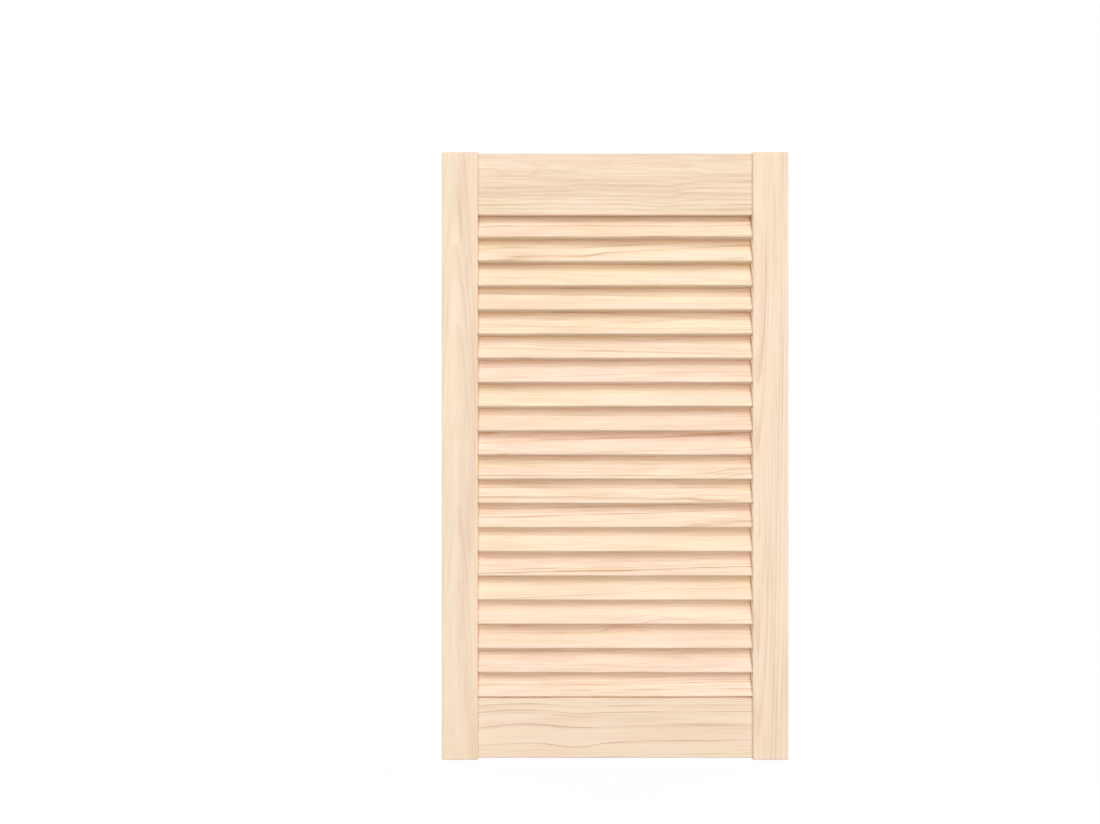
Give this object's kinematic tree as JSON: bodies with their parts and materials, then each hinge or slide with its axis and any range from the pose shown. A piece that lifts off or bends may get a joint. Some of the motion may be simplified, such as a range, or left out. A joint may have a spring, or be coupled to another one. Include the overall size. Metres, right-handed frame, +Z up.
{
  "type": "louvred door",
  "caption": "Louvred door leaf of bare pine: stiles and rails frame a bank of fixed slanted slats that let air through and screen the view.",
  "frame": {"origin": "centre of the hinge edge, the outer face of the left stile, at mid height and mid thickness", "axes": "+Z up along the stiles, +X from the hinge edge to the latch edge, +Y from the front face to the back"},
  "size_m": [0.394, 0.021, 0.69],
  "materials": {
    "stile_pine": "bare sanded pine",
    "rail_pine": "bare sanded pine",
    "slat_pine": "bare planed pine"
  },
  "bodies": {
    "root": {"left_stile": "stile_pine", "right_stile": "stile_pine", "top_rail": "rail_pine", "bottom_rail": "rail_pine", "slat_01": "slat_pine", "slat_02": "slat_pine", "slat_03": "slat_pine", "slat_04": "slat_pine", "slat_05": "slat_pine", "slat_06": "slat_pine", "slat_07": "slat_pine", "slat_08": "slat_pine", "slat_09": "slat_pine", "slat_10": "slat_pine", "slat_11": "slat_pine", "slat_12": "slat_pine", "slat_13": "slat_pine", "slat_14": "slat_pine", "slat_15": "slat_pine", "slat_16": "slat_pine", "slat_17": "slat_pine", "slat_18": "slat_pine", "slat_19": "slat_pine", "slat_20": "slat_pine"}
  },
  "joints": []
}
